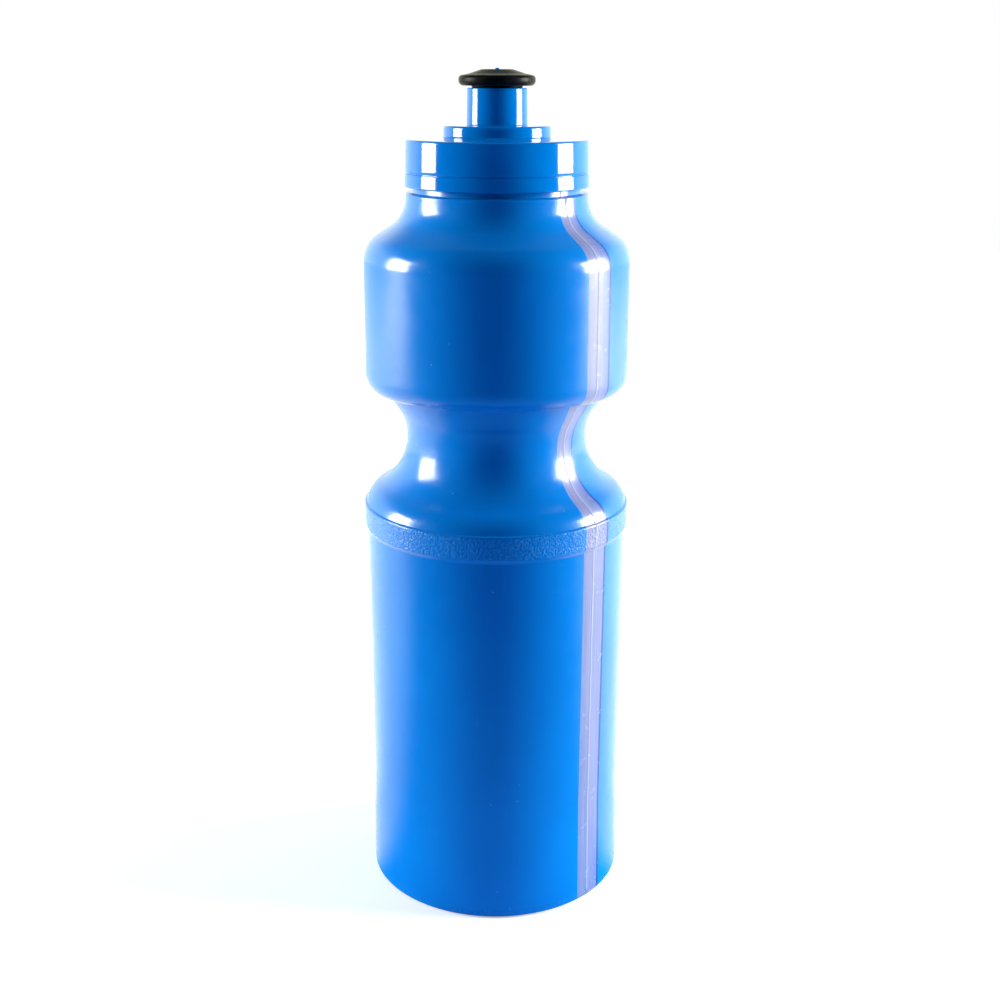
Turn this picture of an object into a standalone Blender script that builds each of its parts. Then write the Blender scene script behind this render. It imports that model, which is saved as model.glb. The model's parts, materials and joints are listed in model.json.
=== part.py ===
"""Squeeze sports bottle: blow-moulded bottle, screw cap with a stepped top and a spout tube, loose sealing
gasket and a push-pull drinking nozzle.

All four pieces are turned about the Z axis.  Z = 0 is the surface the bottle stands on, +Z is up and -Y is the
front.  Dimensions below are in millimetres; MM turns them into metres.
"""

import bpy
import bmesh
from math import sin, cos, tan, pi, radians, sqrt, atan2, hypot

MM = 0.001

# ------------------------------------------------------------------ driving dimensions (mm)
SEGMENTS = 36                 # facets round the bottle and the cap
NOZZLE_SEGMENTS = 28          # facets round the nozzle
WALL = 1.0                    # bottle wall

# stand ring and base
BASE_RADIUS = 36.55
BASE_FILLET = 2.0
STAND_RING_INNER = 28.0
PUSH_UP_RADIUS = 22.0
PUSH_UP_HEIGHT = 3.4

# lower body
BODY_RADIUS_LOW = 36.08       # just above the base flare
BODY_FLARE_TOP = 30.0
BODY_RADIUS_HIGH = 36.20      # just under the textured ring

# textured ring
RING_BOTTOM = 104.5
RING_RAMP = 2.4
RING_TOP = 113.3
RING_RADIUS = 37.0
RING_LIP = 0.55               # step from the ring down to the shoulder

# grip waist
WAIST_RADIUS = 24.95
WAIST_LOW_CORNER = 123.05
WAIST_LOW_BEND = 15.8
WAIST_HIGH_CORNER = 135.8
WAIST_HIGH_BEND = 13.4
SHOULDER_CORNER = (35.36, 116.67)
SHOULDER_BEND = 7.4

# upper bulb
CREASE = (30.0, 144.9)
BULB_RADIUS_LOW = 36.05
BULB_RADIUS_HIGH = 35.73
BULB_LOW_BEND = 5.7
BULB_SHOULDER_CORNER = 184.42
BULB_SHOULDER_BEND = 8.0

# ledge and neck
LEDGE_RADIUS = 24.30
LEDGE_CORNER = 191.8
LEDGE_BEND = 9.2
LEDGE_TOP = 197.9
NECK_COLLAR_RADIUS = 22.45
NECK_COLLAR_TOP = 199.3
NECK_RADIUS = 22.20
NECK_TOP = 208.3
NECK_BORE_RADIUS = 20.40

# thread (right-hand, single start)
THREAD_LEAD = 4.0
THREAD_TURNS = 1.25
NECK_THREAD_CREST = 23.0
NECK_THREAD_START = 202.0     # centre of the ridge at its lower end
CAP_THREAD_CREST = 22.55
THREAD_AXIAL_OFFSET = 1.45    # the cap's ridge runs this far under the neck's
THREAD_START_ANGLE = radians(100)
THREAD_RUN_OUT = radians(24)

# screw cap
CAP_BOTTOM = 199.6
CAP_RADIUS_LOW = 24.70
CAP_RADIUS_HIGH = 24.25
CAP_RIM_TOP = 211.55
CAP_RIM_FILLET = 0.7
CAP_INNER_RADIUS = 23.30
CAP_ROOF_UNDERSIDE = 210.1
CAP_GROOVE_Z = 203.3
CAP_GROOVE_WIDTH = 0.5
CAP_GROOVE_DEPTH = 0.3
PLUG_OUTER = 19.8
PLUG_INNER = 18.7
PLUG_BOTTOM = 206.9

# raised disc and spout tube on the cap
DISC_RADIUS = 14.25
DISC_BASE = 212.40
DISC_TOP = 215.20
DISC_FILLET = 0.8
DISC_WALL = 1.45
DISC_ROOF_UNDERSIDE = 213.7
TUBE_RADIUS_LOW = 8.08
TUBE_RADIUS_HIGH = 7.95
TUBE_TOP = 224.15
TUBE_BORE = 7.25
TUBE_LIP_BORE = 6.75
TUBE_LIP_HEIGHT = 1.25
TUBE_SKIRT_RADIUS = 8.5
TUBE_SKIRT_BOTTOM = 211.3

# fixed valve pin and its three spokes
PIN_RADIUS_LOW = 2.6
PIN_RADIUS_HIGH = 2.2
PIN_TOP = 229.35
SPOKE_WIDTH = 1.6
SPOKE_TOP = 213.0
SPOKES = 3

# sealing gasket
GASKET_INNER = 20.2
GASKET_OUTER = 22.6
GASKET_BOTTOM = 208.6
GASKET_TOP = 209.8

# push-pull nozzle, pushed down
STEM_BOTTOM = 213.4
STEM_RADIUS = 6.4
STEM_BORE = 4.9
BEAD_RADIUS = 6.95
BEAD_BOTTOM = 214.4
BEAD_HEIGHT = 1.4
HEAD_NECK_RADIUS = 6.65
HEAD_UNDERSIDE = 225.15
HEAD_RADIUS = 10.05
HEAD_RIM_TOP = 227.45
HEAD_WAIST = (7.3, 228.05)
HEAD_TOP_RADIUS = 4.0
HEAD_TOP = 229.1
OUTLET_RADIUS = 2.6
OUTLET_DEPTH = 2.0


# ------------------------------------------------------------------ helpers
def fillet_path(corners, close=False):
    """Corners are (r, z, fillet radius, arc steps).  Returns the points of the path with each corner rounded."""
    points = []
    count = len(corners)
    for i, (r, z, bend, steps) in enumerate(corners):
        ends = not close and i in (0, count - 1)
        if ends or bend <= 0.0:
            points.append((r, z))
            continue
        before = corners[i - 1]
        after = corners[(i + 1) % count]
        ar, az = before[0] - r, before[1] - z
        br, bz = after[0] - r, after[1] - z
        la, lb = hypot(ar, az), hypot(br, bz)
        ar, az, br, bz = ar / la, az / la, br / lb, bz / lb
        half = 0.5 * abs(atan2(ar * bz - az * br, ar * br + az * bz))
        reach = bend / tan(half)
        mr, mz = ar + br, az + bz
        lm = hypot(mr, mz)
        cr, cz = r + mr / lm * bend / sin(half), z + mz / lm * bend / sin(half)
        start = atan2(z + az * reach - cz, r + ar * reach - cr)
        finish = atan2(z + bz * reach - cz, r + br * reach - cr)
        sweep = (finish - start + pi) % (2 * pi) - pi
        for k in range(steps + 1):
            angle = start + sweep * k / steps
            points.append((cr + bend * cos(angle), cz + bend * sin(angle)))
    return points


def offset_corners(corners, distance):
    """Moves an open chain of corners sideways by the distance, towards its left, and adapts the bends."""
    result = []
    count = len(corners)
    for i, (r, z, bend, steps) in enumerate(corners):
        sides = []
        for a, b in ((i - 1, i), (i, i + 1)):
            if a < 0 or b >= count:
                continue
            dr, dz = corners[b][0] - corners[a][0], corners[b][1] - corners[a][1]
            length = hypot(dr, dz)
            sides.append((-dz / length, dr / length))
        if len(sides) == 1:
            nr, nz = sides[0]
            result.append((r + nr * distance, z + nz * distance, 0.0, steps))
            continue
        (ar, az), (br, bz) = sides
        scale = distance / (1.0 + ar * br + az * bz)
        turn = ar * bz - az * br
        new_bend = 0.0
        if bend > 0.0:
            new_bend = max(0.35, bend - distance if turn > 0 else bend + distance)
        result.append((r + (ar + br) * scale, z + (az + bz) * scale, new_bend, steps))
    return result


def turned(bm, profile, segments, closed):
    """Spins a profile about Z.  A closed profile is a ring; an open one starts and ends on the axis."""
    rings = []
    for r, z in profile:
        if r < 1e-6:
            rings.append([bm.verts.new((0.0, 0.0, z * MM))])
        else:
            rings.append([
                bm.verts.new((r * MM * sin(2 * pi * k / segments), -r * MM * cos(2 * pi * k / segments), z * MM))
                for k in range(segments)
            ])
    pairs = list(zip(rings, rings[1:]))
    if closed:
        pairs.append((rings[-1], rings[0]))
    for low, high in pairs:
        for k in range(segments):
            n = (k + 1) % segments
            if len(low) == 1:
                bm.faces.new((low[0], high[n], high[k]))
            elif len(high) == 1:
                bm.faces.new((low[k], low[n], high[0]))
            else:
                bm.faces.new((low[k], low[n], high[n], high[k]))


def helical_ridge(bm, root, buried, crest, start_z, half_root, half_crest, segments):
    """A ridge that climbs a right-hand helix.  It stands on the radius root and is buried down to buried."""
    steps = round(THREAD_TURNS * segments)
    sections = []
    for k in range(steps + 1):
        turn = 2 * pi * THREAD_TURNS * k / steps
        run = min(turn, 2 * pi * THREAD_TURNS - turn) / THREAD_RUN_OUT
        grow = max(0.0, min(1.0, run))
        top = root + (crest - root) * (0.02 + 0.98 * grow)
        half_top = half_root + (half_crest - half_root) * (0.02 + 0.98 * grow)
        z = start_z + THREAD_LEAD * turn / (2 * pi)
        slope = (half_root - half_top) / abs(top - root)
        deep = half_root + slope * abs(root - buried)
        deep = min(deep, half_root + 0.4)
        angle = THREAD_START_ANGLE + turn
        ring = []
        for r, dz in ((buried, -deep), (top, -half_top), (top, half_top), (buried, deep)):
            ring.append(bm.verts.new((r * MM * sin(angle), -r * MM * cos(angle), (z + dz) * MM)))
        sections.append(ring)
    for a, b in zip(sections, sections[1:]):
        for k in range(4):
            n = (k + 1) % 4
            bm.faces.new((a[k], a[n], b[n], b[k]))
    bm.faces.new(sections[0])
    bm.faces.new(list(reversed(sections[-1])))


def material(name, colour, roughness, coat=0.0):
    mat = bpy.data.materials.new(name)
    mat.use_nodes = True
    shader = mat.node_tree.nodes["Principled BSDF"]
    shader.inputs["Base Color"].default_value = (*colour, 1.0)
    shader.inputs["Roughness"].default_value = roughness
    shader.inputs["Metallic"].default_value = 0.0
    shader.inputs["Coat Weight"].default_value = coat
    mat.diffuse_color = (*colour, 1.0)
    return mat


def make_object(name, bm, mat, hidden=False):
    bmesh.ops.recalc_face_normals(bm, faces=bm.faces[:])
    mesh = bpy.data.meshes.new(name)
    bm.to_mesh(mesh)
    bm.free()
    obj = bpy.data.objects.new(name, mesh)
    bpy.context.scene.collection.objects.link(obj)
    if mat is not None:
        mesh.materials.append(mat)
    mesh.shade_smooth()
    mesh.set_sharp_from_angle(angle=radians(32))
    if hidden:
        obj.hide_render = True
        obj.display_type = 'WIRE'
    return obj


def unite(obj, other):
    mod = obj.modifiers.new("union_" + other.name, 'BOOLEAN')
    mod.operation = 'UNION'
    mod.solver = 'EXACT'
    mod.object = other


# ------------------------------------------------------------------ profiles
def bottle_corners():
    """Outer skin of the bottle from the middle of the base, out and up to the neck rim."""
    return [
        (0.0, PUSH_UP_HEIGHT, 0.0, 0),
        (PUSH_UP_RADIUS, PUSH_UP_HEIGHT - 0.4, 2.5, 1),
        (STAND_RING_INNER, 0.0, 0.0, 0),
        (BASE_RADIUS, 0.0, BASE_FILLET, 3),
        (BASE_RADIUS - 0.05, 5.0, 0.0, 0),
        (BODY_RADIUS_LOW, BODY_FLARE_TOP, 0.0, 0),
        (BODY_RADIUS_HIGH, RING_BOTTOM, 0.0, 0),
        (RING_RADIUS - 0.05, RING_BOTTOM + RING_RAMP, 0.0, 0),
        (RING_RADIUS, RING_TOP, 0.0, 0),
        (RING_RADIUS - RING_LIP, RING_TOP + 0.35, 0.0, 0),
        (SHOULDER_CORNER[0], SHOULDER_CORNER[1], SHOULDER_BEND, 3),
        (WAIST_RADIUS, WAIST_LOW_CORNER, WAIST_LOW_BEND, 4),
        (WAIST_RADIUS, WAIST_HIGH_CORNER, WAIST_HIGH_BEND, 2),
        (CREASE[0], CREASE[1], 0.0, 0),
        (BULB_RADIUS_LOW, CREASE[1], BULB_LOW_BEND, 4),
        (BULB_RADIUS_HIGH, BULB_SHOULDER_CORNER, BULB_SHOULDER_BEND, 4),
        (LEDGE_RADIUS, LEDGE_CORNER, LEDGE_BEND, 4),
        (LEDGE_RADIUS, LEDGE_TOP, 0.4, 1),
        (NECK_COLLAR_RADIUS, LEDGE_TOP, 0.0, 0),
        (NECK_COLLAR_RADIUS, NECK_COLLAR_TOP, 0.0, 0),
        (NECK_RADIUS, NECK_COLLAR_TOP + 0.3, 0.0, 0),
        (NECK_RADIUS, NECK_TOP, 0.35, 1),
    ]


def bottle_profile():
    outer = fillet_path(bottle_corners() + [(NECK_BORE_RADIUS + 0.9, NECK_TOP, 0.0, 0)])
    skin = [
        (0.0, PUSH_UP_HEIGHT, 0.0, 0),
        (PUSH_UP_RADIUS, PUSH_UP_HEIGHT - 0.4, 0.0, 0),
        (STAND_RING_INNER, 0.0, 0.0, 0),
        (BASE_RADIUS, 0.0, BASE_FILLET, 1),
        (BODY_RADIUS_LOW, BODY_FLARE_TOP, 0.0, 0),
        (BODY_RADIUS_HIGH, RING_BOTTOM, 0.0, 0),
        (RING_RADIUS - RING_LIP, RING_TOP, 0.0, 0),
        (SHOULDER_CORNER[0], SHOULDER_CORNER[1], SHOULDER_BEND, 1),
        (WAIST_RADIUS, WAIST_LOW_CORNER, WAIST_LOW_BEND, 3),
        (WAIST_RADIUS, WAIST_HIGH_CORNER, WAIST_HIGH_BEND, 2),
        (CREASE[0], CREASE[1], 0.0, 0),
        (BULB_RADIUS_LOW, CREASE[1], BULB_LOW_BEND, 2),
        (BULB_RADIUS_HIGH, BULB_SHOULDER_CORNER, BULB_SHOULDER_BEND, 2),
        (LEDGE_RADIUS, LEDGE_CORNER, LEDGE_BEND, 2),
        (LEDGE_RADIUS, LEDGE_TOP - 2.0, 0.0, 0),
    ]
    inner = fillet_path(offset_corners(skin, WALL))
    inner[0] = (0.0, PUSH_UP_HEIGHT + WALL)
    inner += [(NECK_BORE_RADIUS, LEDGE_TOP + 0.6), (NECK_BORE_RADIUS, NECK_TOP - 0.4)]
    return outer + list(reversed(inner))


def cap_profile():
    groove_r = CAP_RADIUS_LOW + (CAP_RADIUS_HIGH - CAP_RADIUS_LOW) * (CAP_GROOVE_Z - CAP_BOTTOM) / (CAP_RIM_TOP - CAP_BOTTOM)
    half = CAP_GROOVE_WIDTH / 2
    lip = TUBE_TOP - TUBE_LIP_HEIGHT
    return fillet_path([
        (CAP_RADIUS_LOW, CAP_BOTTOM, 0.0, 0),
        (groove_r, CAP_GROOVE_Z - half, 0.0, 0),
        (groove_r - CAP_GROOVE_DEPTH, CAP_GROOVE_Z - half + 0.1, 0.0, 0),
        (groove_r - CAP_GROOVE_DEPTH, CAP_GROOVE_Z + half - 0.1, 0.0, 0),
        (groove_r - 0.05, CAP_GROOVE_Z + half, 0.0, 0),
        (CAP_RADIUS_HIGH, CAP_RIM_TOP, CAP_RIM_FILLET, 2),
        (DISC_RADIUS, DISC_BASE, 0.0, 0),
        (DISC_RADIUS - 0.05, DISC_TOP, DISC_FILLET, 2),
        (TUBE_RADIUS_LOW, DISC_TOP + 0.15, 0.0, 0),
        (TUBE_RADIUS_HIGH, TUBE_TOP, 0.35, 1),
        (TUBE_LIP_BORE, TUBE_TOP, 0.0, 0),
        (TUBE_LIP_BORE, lip, 0.0, 0),
        (TUBE_BORE, lip - 0.3, 0.0, 0),
        (TUBE_BORE, TUBE_SKIRT_BOTTOM, 0.0, 0),
        (TUBE_SKIRT_RADIUS, TUBE_SKIRT_BOTTOM, 0.0, 0),
        (TUBE_SKIRT_RADIUS, DISC_ROOF_UNDERSIDE, 0.0, 0),
        (DISC_RADIUS - DISC_WALL, DISC_ROOF_UNDERSIDE, 0.0, 0),
        (DISC_RADIUS - DISC_WALL, CAP_ROOF_UNDERSIDE, 0.0, 0),
        (PLUG_INNER, CAP_ROOF_UNDERSIDE, 0.0, 0),
        (PLUG_INNER, PLUG_BOTTOM, 0.0, 0),
        (PLUG_OUTER - 0.3, PLUG_BOTTOM, 0.0, 0),
        (PLUG_OUTER, PLUG_BOTTOM + 0.8, 0.0, 0),
        (PLUG_OUTER, CAP_ROOF_UNDERSIDE, 0.0, 0),
        (CAP_INNER_RADIUS, CAP_ROOF_UNDERSIDE, 0.0, 0),
        (CAP_INNER_RADIUS, CAP_BOTTOM, 0.0, 0),
    ], close=True)


def nozzle_profile():
    return fillet_path([
        (STEM_BORE, STEM_BOTTOM, 0.0, 0),
        (STEM_RADIUS, STEM_BOTTOM, 0.0, 0),
        (STEM_RADIUS, BEAD_BOTTOM, 0.0, 0),
        (BEAD_RADIUS, BEAD_BOTTOM + 0.4, 0.0, 0),
        (BEAD_RADIUS, BEAD_BOTTOM + BEAD_HEIGHT - 0.4, 0.0, 0),
        (STEM_RADIUS, BEAD_BOTTOM + BEAD_HEIGHT, 0.0, 0),
        (STEM_RADIUS, TUBE_TOP + 0.35, 0.0, 0),
        (HEAD_NECK_RADIUS, TUBE_TOP + 0.45, 0.0, 0),
        (HEAD_NECK_RADIUS, HEAD_UNDERSIDE, 0.0, 0),
        (HEAD_RADIUS, HEAD_UNDERSIDE, 1.2, 2),
        (HEAD_RADIUS, HEAD_RIM_TOP, 0.9, 2),
        (HEAD_WAIST[0], HEAD_WAIST[1], 3.0, 1),
        (HEAD_TOP_RADIUS, HEAD_TOP, 0.5, 1),
        (OUTLET_RADIUS, HEAD_TOP, 0.3, 1),
        (OUTLET_RADIUS, HEAD_TOP - OUTLET_DEPTH, 0.0, 0),
        (STEM_BORE, HEAD_TOP - OUTLET_DEPTH - 1.4, 0.0, 0),
    ], close=True)


def gasket_profile():
    return fillet_path([
        (GASKET_INNER, GASKET_BOTTOM, 0.0, 0),
        (GASKET_OUTER, GASKET_BOTTOM, 0.0, 0),
        (GASKET_OUTER, GASKET_TOP, 0.0, 0),
        (GASKET_INNER, GASKET_TOP, 0.0, 0),
    ], close=True)


# ------------------------------------------------------------------ build
def build():
    for obj in list(bpy.data.objects):
        bpy.data.objects.remove(obj, do_unlink=True)

    bottle_blue = material("bottle_blue", (0.000, 0.155, 0.720), 0.24, 0.1)
    cap_blue = material("cap_blue", (0.000, 0.160, 0.740), 0.12, 0.2)
    nozzle_black = material("nozzle_black", (0.012, 0.012, 0.014), 0.45)
    gasket_grey = material("gasket_grey", (0.62, 0.63, 0.64), 0.6)

    # bottle
    bm = bmesh.new()
    turned(bm, bottle_profile(), SEGMENTS, False)
    bottle = make_object("bottle_body", bm, bottle_blue)

    bm = bmesh.new()
    helical_ridge(bm, NECK_RADIUS, NECK_RADIUS - 0.7, NECK_THREAD_CREST, NECK_THREAD_START, 0.9, 0.45, SEGMENTS)
    neck_thread = make_object("neck_thread_ridge", bm, bottle_blue, hidden=True)
    unite(bottle, neck_thread)

    # cap
    bm = bmesh.new()
    turned(bm, cap_profile(), SEGMENTS, True)
    cap = make_object("screw_cap", bm, cap_blue)

    bm = bmesh.new()
    helical_ridge(bm, CAP_INNER_RADIUS, CAP_INNER_RADIUS + 0.5, CAP_THREAD_CREST,
                  NECK_THREAD_START - THREAD_AXIAL_OFFSET, 0.8, 0.4, SEGMENTS)
    cap_thread = make_object("cap_thread_ridge", bm, cap_blue, hidden=True)
    unite(cap, cap_thread)

    bm = bmesh.new()
    pin_profile = fillet_path([
        (0.0, TUBE_SKIRT_BOTTOM - 0.6, 0.0, 0),
        (PIN_RADIUS_LOW - 0.6, TUBE_SKIRT_BOTTOM - 0.6, 0.0, 0),
        (PIN_RADIUS_LOW, TUBE_SKIRT_BOTTOM + 0.2, 0.0, 0),
        (PIN_RADIUS_LOW, SPOKE_TOP + 0.6, 0.0, 0),
        (PIN_RADIUS_HIGH, SPOKE_TOP + 4.0, 0.0, 0),
        (PIN_RADIUS_HIGH, PIN_TOP - 0.1, 0.9, 1),
        (0.0, PIN_TOP + 0.15, 0.0, 0),
    ])
    turned(bm, pin_profile, 14, False)
    pin = make_object("valve_pin_form", bm, cap_blue, hidden=True)
    unite(cap, pin)

    for k in range(SPOKES):
        angle = 2 * pi * k / SPOKES + radians(30)
        bm = bmesh.new()
        low, high = PIN_RADIUS_LOW - 1.2, TUBE_BORE + 0.55
        corners = []
        for z in (TUBE_SKIRT_BOTTOM + 0.15, SPOKE_TOP):
            for r, s in ((low, -1), (high, -1), (high, 1), (low, 1)):
                w = s * SPOKE_WIDTH / 2
                x = r * cos(angle) - w * sin(angle)
                y = r * sin(angle) + w * cos(angle)
                corners.append(bm.verts.new((x * MM, y * MM, z * MM)))
        for face in ((0, 1, 2, 3), (4, 5, 6, 7), (0, 1, 5, 4), (1, 2, 6, 5), (2, 3, 7, 6), (3, 0, 4, 7)):
            bm.faces.new([corners[i] for i in face])
        unite(cap, make_object("valve_spoke_form_%d" % (k + 1), bm, cap_blue, hidden=True))

    # gasket
    bm = bmesh.new()
    turned(bm, gasket_profile(), SEGMENTS, True)
    make_object("cap_gasket", bm, gasket_grey)

    # nozzle
    bm = bmesh.new()
    turned(bm, nozzle_profile(), NOZZLE_SEGMENTS, True)
    make_object("push_pull_nozzle", bm, nozzle_black)


build()
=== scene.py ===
import json
from math import sin, cos, tan, pi, radians, degrees, atan2, hypot, exp, sqrt

import bpy
import bmesh
import numpy as np
from mathutils import Matrix, Vector, noise

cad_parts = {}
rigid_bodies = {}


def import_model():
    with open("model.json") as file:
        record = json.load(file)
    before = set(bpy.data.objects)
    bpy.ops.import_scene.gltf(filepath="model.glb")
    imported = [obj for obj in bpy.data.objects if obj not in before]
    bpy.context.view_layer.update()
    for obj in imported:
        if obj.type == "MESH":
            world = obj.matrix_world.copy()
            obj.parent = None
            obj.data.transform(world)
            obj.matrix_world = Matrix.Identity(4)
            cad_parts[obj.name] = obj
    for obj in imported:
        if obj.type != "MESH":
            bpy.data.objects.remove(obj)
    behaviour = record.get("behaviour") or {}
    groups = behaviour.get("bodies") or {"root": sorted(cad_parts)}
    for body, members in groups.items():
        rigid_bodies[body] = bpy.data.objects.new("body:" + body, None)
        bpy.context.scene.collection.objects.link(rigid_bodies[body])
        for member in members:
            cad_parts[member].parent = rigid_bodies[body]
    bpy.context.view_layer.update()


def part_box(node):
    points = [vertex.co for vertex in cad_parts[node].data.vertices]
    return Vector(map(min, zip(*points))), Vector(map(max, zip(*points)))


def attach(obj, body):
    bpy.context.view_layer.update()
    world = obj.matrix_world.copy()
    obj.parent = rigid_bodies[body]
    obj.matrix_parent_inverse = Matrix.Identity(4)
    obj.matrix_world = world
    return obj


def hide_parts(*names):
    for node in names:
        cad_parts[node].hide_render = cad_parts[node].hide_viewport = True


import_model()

MM = 0.001

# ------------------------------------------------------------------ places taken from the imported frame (mm)
bottle_lo, bottle_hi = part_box("bottle_body")
cap_lo, cap_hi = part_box("screw_cap")
nozzle_lo, nozzle_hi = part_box("push_pull_nozzle")
gasket_lo, gasket_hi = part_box("cap_gasket")

Z0 = bottle_lo.z / MM                       # surface it stands on
NECK_TOP = bottle_hi.z / MM
CAP_BOTTOM = cap_lo.z / MM
PIN_TOP = cap_hi.z / MM
HEAD_TOP = nozzle_hi.z / MM
STEM_BOTTOM = nozzle_lo.z / MM
RING_RADIUS = (bottle_hi.x - bottle_lo.x) / 2 / MM
CAP_RADIUS_LOW = (cap_hi.x - cap_lo.x) / 2 / MM
HEAD_RADIUS = (nozzle_hi.x - nozzle_lo.x) / 2 / MM


# ------------------------------------------------------------------ turned shapes
def fillet_path(corners, close=False, step=0.3, cap_steps=24):
    """Corners are (r, z, fillet radius).  Arcs get a point about every step millimetres."""
    points = []
    count = len(corners)
    for i, (r, z, bend) in enumerate(corners):
        if (not close and i in (0, count - 1)) or bend <= 0.0:
            points.append((r, z))
            continue
        before, after = corners[i - 1], corners[(i + 1) % count]
        ar, az = before[0] - r, before[1] - z
        br, bz = after[0] - r, after[1] - z
        la, lb = hypot(ar, az), hypot(br, bz)
        ar, az, br, bz = ar / la, az / la, br / lb, bz / lb
        half = 0.5 * abs(atan2(ar * bz - az * br, ar * br + az * bz))
        reach = bend / tan(half)
        mr, mz = ar + br, az + bz
        lm = hypot(mr, mz)
        cr, cz = r + mr / lm * bend / sin(half), z + mz / lm * bend / sin(half)
        start = atan2(z + az * reach - cz, r + ar * reach - cr)
        finish = atan2(z + bz * reach - cz, r + br * reach - cr)
        sweep = (finish - start + pi) % (2 * pi) - pi
        steps = max(3, min(cap_steps, int(round(abs(sweep) * bend / step)) + 2))
        for k in range(steps + 1):
            angle = start + sweep * k / steps
            points.append((cr + bend * cos(angle), cz + bend * sin(angle)))
    return points


def crisp(corners, size=0.12):
    """Breaks every unrounded corner with a tiny fillet, as a moulding has."""
    return [(r, z, b if b > 0 else size) for r, z, b in corners]


def even(points, longest, close=False):
    """Splits long straight runs so that no row is further than longest from the next."""
    result = []
    pairs = list(zip(points, points[1:]))
    if close:
        pairs.append((points[-1], points[0]))
    for (r0, z0), (r1, z1) in pairs:
        gap = longest(0.5 * (r0 + r1), 0.5 * (z0 + z1)) if callable(longest) else longest
        n = max(1, int(np.ceil(hypot(r1 - r0, z1 - z0) / gap)))
        for k in range(n):
            result.append((r0 + (r1 - r0) * k / n, z0 + (z1 - z0) * k / n))
    if not close:
        result.append(points[-1])
    return result


def offset_corners(corners, distance):
    result = []
    count = len(corners)
    for i, (r, z, bend) in enumerate(corners):
        sides = []
        for a, b in ((i - 1, i), (i, i + 1)):
            if a < 0 or b >= count:
                continue
            dr, dz = corners[b][0] - corners[a][0], corners[b][1] - corners[a][1]
            length = hypot(dr, dz)
            sides.append((-dz / length, dr / length))
        if len(sides) == 1:
            result.append((r + sides[0][0] * distance, z + sides[0][1] * distance, 0.0))
            continue
        (ar, az), (br, bz) = sides
        scale = distance / (1.0 + ar * br + az * bz)
        turn = ar * bz - az * br
        new_bend = max(0.35, bend - distance if turn > 0 else bend + distance) if bend > 0 else 0.0
        result.append((r + (ar + br) * scale, z + (az + bz) * scale, new_bend))
    return result


def columns(count, special=()):
    """Azimuths round the axis, 0 at the front and growing to the right, with extra ones where detail is."""
    base = [2 * pi * k / count - pi for k in range(count)]
    extra = []
    for centre, offsets in special:
        extra += [centre + o for o in offsets]
    extra = [((a + pi) % (2 * pi)) - pi for a in extra]
    spacing = 2 * pi / count
    kept = [a for a in base if all(abs(a - e) > 0.30 * spacing for e in extra)]
    return np.array(sorted(kept + extra))


def revolve(name, rows, thetas, closed, shape=None, material_of=None):
    """Mesh turned from rows of (r, z) in millimetres.  shape(az, r, z) may move a point and returns (az, r, z)."""
    m = len(thetas)
    verts, rings = [], []
    for i, (r, z) in enumerate(rows):
        if r < 1e-6:
            rings.append([len(verts)])
            verts.append((0.0, 0.0, z * MM))
            continue
        ring = []
        for a in thetas:
            aa, rr, zz = shape(i, a, r, z) if shape else (a, r, z)
            ring.append(len(verts))
            verts.append((rr * MM * sin(aa), -rr * MM * cos(aa), zz * MM))
        rings.append(ring)
    faces, mats = [], []
    pairs = list(zip(range(len(rings) - 1), range(1, len(rings))))
    if closed:
        pairs.append((len(rings) - 1, 0))
    mids = 0.5 * (thetas + np.roll(thetas, -1))
    mids[-1] = 0.5 * (thetas[-1] + thetas[0] + 2 * pi)
    for lo, hi in pairs:
        a, b = rings[lo], rings[hi]
        for k in range(m):
            n = (k + 1) % m
            if len(a) == 1 and len(b) == 1:
                continue
            if len(a) == 1:
                faces.append((a[0], b[n], b[k]))
            elif len(b) == 1:
                faces.append((a[k], a[n], b[0]))
            else:
                faces.append((a[k], a[n], b[n], b[k]))
            if material_of:
                mats.append(material_of(lo, mids[k]))
    mesh = bpy.data.meshes.new(name)
    mesh.from_pydata(verts, [], faces)
    if material_of:
        mesh.polygons.foreach_set("material_index", np.array(mats, np.int32))
    bm = bmesh.new()
    bm.from_mesh(mesh)
    bmesh.ops.recalc_face_normals(bm, faces=bm.faces[:])
    bm.to_mesh(mesh)
    bm.free()
    mesh.shade_smooth()
    mesh.update()
    obj = bpy.data.objects.new(name, mesh)
    bpy.context.scene.collection.objects.link(obj)
    return obj


def apply_modifiers(obj):
    """Bakes the modifiers into the mesh and removes them."""
    dg = bpy.context.evaluated_depsgraph_get()
    done = bpy.data.meshes.new_from_object(obj.evaluated_get(dg), depsgraph=dg)
    obj.modifiers.clear()
    obj.data = done
    return obj


def smooth_step(x, lo, hi):
    t = min(1.0, max(0.0, (x - lo) / (hi - lo)))
    return t * t * (3 - 2 * t)


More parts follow.
